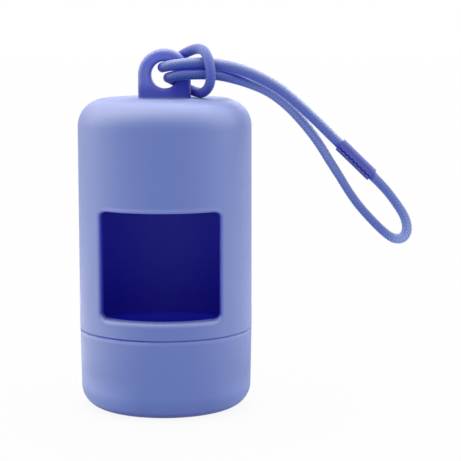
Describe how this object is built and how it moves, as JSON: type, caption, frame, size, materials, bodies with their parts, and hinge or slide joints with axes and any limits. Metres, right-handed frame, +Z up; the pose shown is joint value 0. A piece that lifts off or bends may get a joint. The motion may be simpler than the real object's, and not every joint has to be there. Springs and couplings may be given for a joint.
{
  "type": "dog waste bag dispenser",
  "caption": "Upright round bag dispenser with a front window, a push-on base cap, a top lug and an elastic wrist cord closed by a folded clip.",
  "frame": {"origin": "centre of the flat underside of the base cap", "axes": "+Z up along the body's axis to the lug, -Y out of the window, +X to the side the cord hangs on"},
  "size_m": [0.0826, 0.043, 0.0903],
  "materials": {
    "body_silicone": "matt silicone, moulded in violet blue",
    "cap_silicone": "matt silicone, moulded in violet blue",
    "elastic_cord": "woven sleeve over an elastic core",
    "clip_paint": "thin folded sheet, painted to match the cord"
  },
  "bodies": {
    "sleeve": {"body_shell": "body_silicone", "wrist_cord": "elastic_cord", "cord_clip": "clip_paint"},
    "cap": {"base_cap": "cap_silicone"}
  },
  "joints": [
    {"name": "cap_pull_off", "type": "slide", "parent": "sleeve", "child": "cap", "axis": [0, 0, -1], "range_m": [0, 0.03]}
  ]
}
